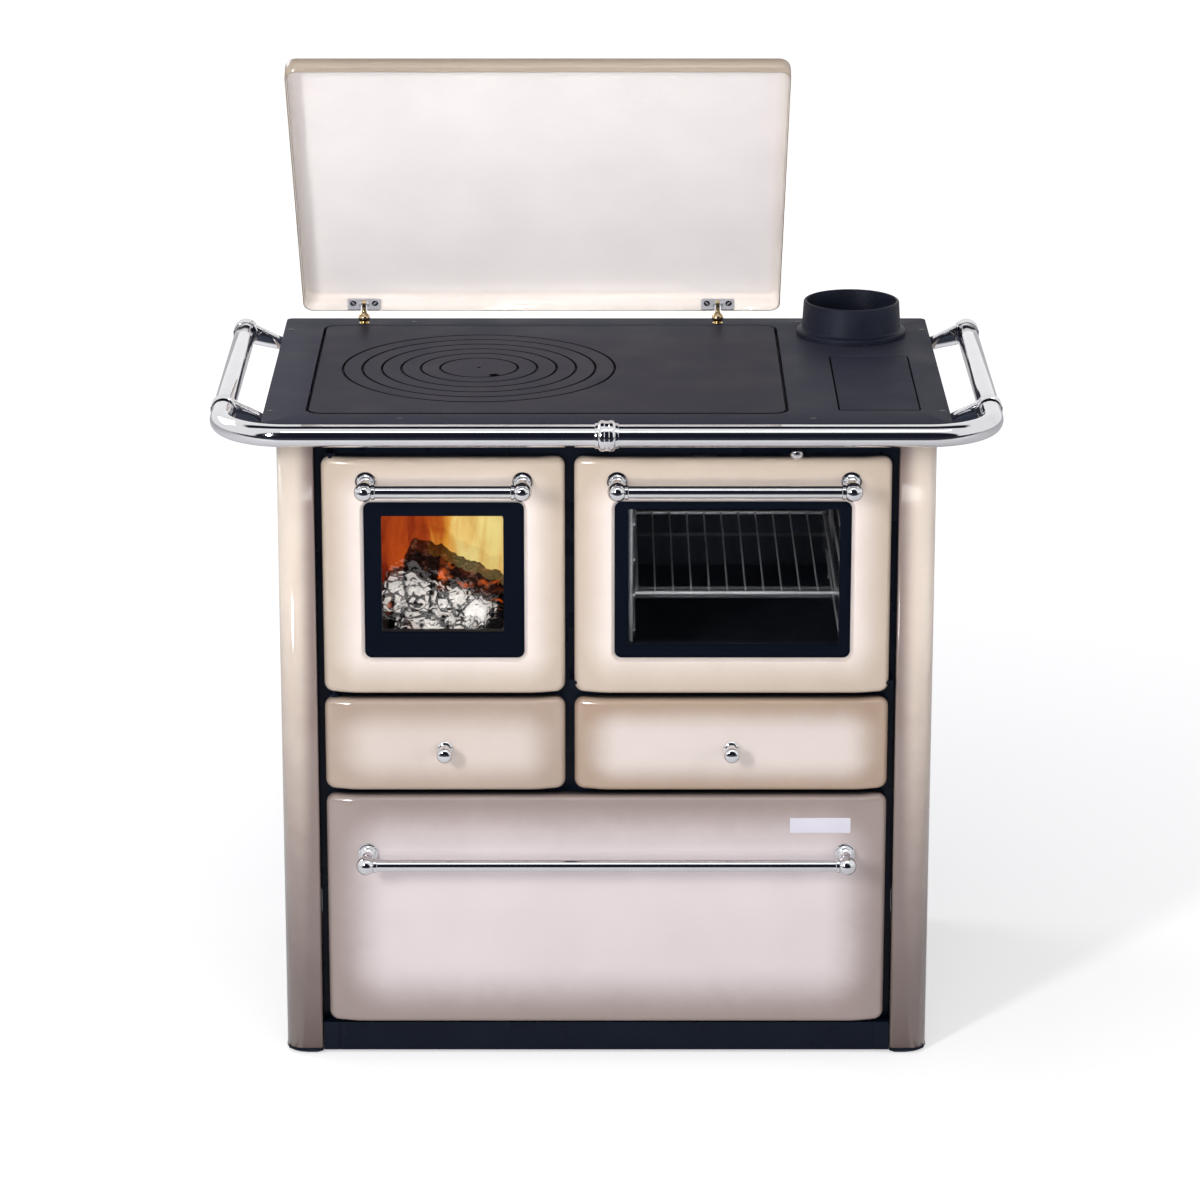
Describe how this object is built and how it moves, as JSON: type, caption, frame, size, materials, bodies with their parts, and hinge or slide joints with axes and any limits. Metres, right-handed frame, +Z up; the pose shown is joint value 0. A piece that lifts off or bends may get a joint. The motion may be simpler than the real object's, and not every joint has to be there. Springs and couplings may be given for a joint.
{
  "type": "wood cookstove",
  "caption": "Enamelled wood cookstove with cast hob plate and lift-out rings, glazed firebox and oven doors, drawers, chromed rail, flue collar and folding lid.",
  "frame": {"origin": "on the floor, under the middle of the whole stove's box", "axes": "+Z up, the doors and drawers face -Y, +X to the right of someone who faces the stove"},
  "size_m": [0.989, 0.6212, 1.2653],
  "materials": {
    "cream_enamel": "glossy vitreous enamel, cream with airbrushed tan edges",
    "lid_enamel": "glossy pale enamel",
    "black_enamel": "satin black enamel",
    "black_sheet": "heat-blackened sheet steel",
    "cast_iron": "fine-grained blue-black cast iron",
    "hob_iron": "ground dark grey cast iron",
    "firebrick": "porous fireclay",
    "chrome": "polished chrome plating",
    "brass": "polished brass",
    "zinc": "zinc-plated steel",
    "wire": "chromed wire",
    "door_glass": "heat-resistant glass with a printed black border"
  },
  "bodies": {
    "body": {"foot_front_right": "black_enamel", "foot_front_left": "black_enamel", "foot_rear_right": "black_enamel", "foot_rear_left": "black_enamel", "side_panel_right": "cream_enamel", "side_panel_left": "cream_enamel", "base_frame": "black_enamel", "front_frame": "black_enamel", "back_panel": "black_sheet", "drawer_deck": "black_sheet", "oven_deck": "black_sheet", "firebrick_left": "firebrick", "firebrick_right": "firebrick", "firebrick_back": "firebrick", "fire_grate": "cast_iron", "oven_muffle": "black_sheet", "oven_rack_left": "wire", "oven_rack_right": "wire", "oven_shelf": "wire", "worktop_frame": "cast_iron", "flue_collar": "cast_iron", "rail_front": "chrome", "rail_side_right": "chrome", "rail_side_left": "chrome", "rail_bracket_front_right": "chrome", "rail_bracket_front_left": "chrome", "rail_bracket_rear_right": "chrome", "rail_bracket_rear_left": "chrome", "rail_coupling": "chrome", "lid_post_left": "brass", "lid_post_right": "brass"},
    "lid": {"lid_shell": "lid_enamel", "lid_hinge_left": "zinc", "lid_hinge_right": "zinc"},
    "firebox_door": {"firebox_door_skin": "cream_enamel", "firebox_door_liner": "black_sheet", "firebox_glass": "door_glass", "firebox_handle": "chrome"},
    "oven_door": {"oven_door_skin": "cream_enamel", "oven_door_liner": "black_sheet", "oven_glass": "door_glass", "oven_handle": "chrome"},
    "ash_drawer": {"ash_drawer_front": "cream_enamel", "ash_pan": "black_sheet", "ash_drawer_knob": "chrome"},
    "utility_drawer": {"utility_drawer_front": "cream_enamel", "utility_drawer_box": "black_sheet", "utility_drawer_knob": "chrome"},
    "wood_drawer": {"wood_drawer_front": "cream_enamel", "wood_drawer_box": "black_sheet", "wood_drawer_handle": "chrome"},
    "damper": {"damper": "chrome"},
    "inspection_cover": {"inspection_cover": "cast_iron"},
    "hob_plate": {"hob_plate": "hob_iron"},
    "hob_ring_1": {"hob_ring_1": "hob_iron"},
    "hob_ring_2": {"hob_ring_2": "hob_iron"},
    "hob_ring_3": {"hob_ring_3": "hob_iron"},
    "hob_ring_4": {"hob_ring_4": "hob_iron"},
    "hob_ring_5": {"hob_ring_5": "hob_iron"},
    "hob_disc": {"hob_disc": "hob_iron"}
  },
  "joints": [
    {"name": "lid_hinge", "type": "hinge", "parent": "body", "child": "lid", "pos_m": [0, 0.2786, 0.877], "axis": [-1, 0, 0], "range_deg": [-50.5, 45]},
    {"name": "firebox_door_hinge", "type": "hinge", "parent": "body", "child": "firebox_door", "pos_m": [-0.344, -0.2014, 0.64], "axis": [0, 0, -1], "range_deg": [0, 105]},
    {"name": "oven_door_hinge", "type": "hinge", "parent": "body", "child": "oven_door", "pos_m": [0.158, -0.2014, 0.502], "axis": [1, 0, 0], "range_deg": [0, 90]},
    {"name": "ash_drawer_slide", "type": "slide", "parent": "body", "child": "ash_drawer", "axis": [0, -1, 0], "range_m": [0, 0.3]},
    {"name": "utility_drawer_slide", "type": "slide", "parent": "body", "child": "utility_drawer", "axis": [0, -1, 0], "range_m": [0, 0.3]},
    {"name": "wood_drawer_slide", "type": "slide", "parent": "body", "child": "wood_drawer", "axis": [0, -1, 0], "range_m": [0, 0.32]},
    {"name": "damper_slide", "type": "slide", "parent": "body", "child": "damper", "axis": [0, -1, 0], "range_m": [0, 0.045]},
    {"name": "inspection_cover_lift", "type": "slide", "parent": "body", "child": "inspection_cover", "axis": [0, 0, 1], "range_m": [0, 0.03]},
    {"name": "hob_plate_lift", "type": "slide", "parent": "body", "child": "hob_plate", "axis": [0, 0, 1], "range_m": [0, 0.03]},
    {"name": "hob_ring_1_lift", "type": "slide", "parent": "hob_plate", "child": "hob_ring_1", "axis": [0, 0, 1], "range_m": [0, 0.03]},
    {"name": "hob_ring_2_lift", "type": "slide", "parent": "hob_ring_1", "child": "hob_ring_2", "axis": [0, 0, 1], "range_m": [0, 0.03]},
    {"name": "hob_ring_3_lift", "type": "slide", "parent": "hob_ring_2", "child": "hob_ring_3", "axis": [0, 0, 1], "range_m": [0, 0.03]},
    {"name": "hob_ring_4_lift", "type": "slide", "parent": "hob_ring_3", "child": "hob_ring_4", "axis": [0, 0, 1], "range_m": [0, 0.03]},
    {"name": "hob_ring_5_lift", "type": "slide", "parent": "hob_ring_4", "child": "hob_ring_5", "axis": [0, 0, 1], "range_m": [0, 0.03]},
    {"name": "hob_disc_lift", "type": "slide", "parent": "hob_ring_5", "child": "hob_disc", "axis": [0, 0, 1], "range_m": [0, 0.03]}
  ]
}
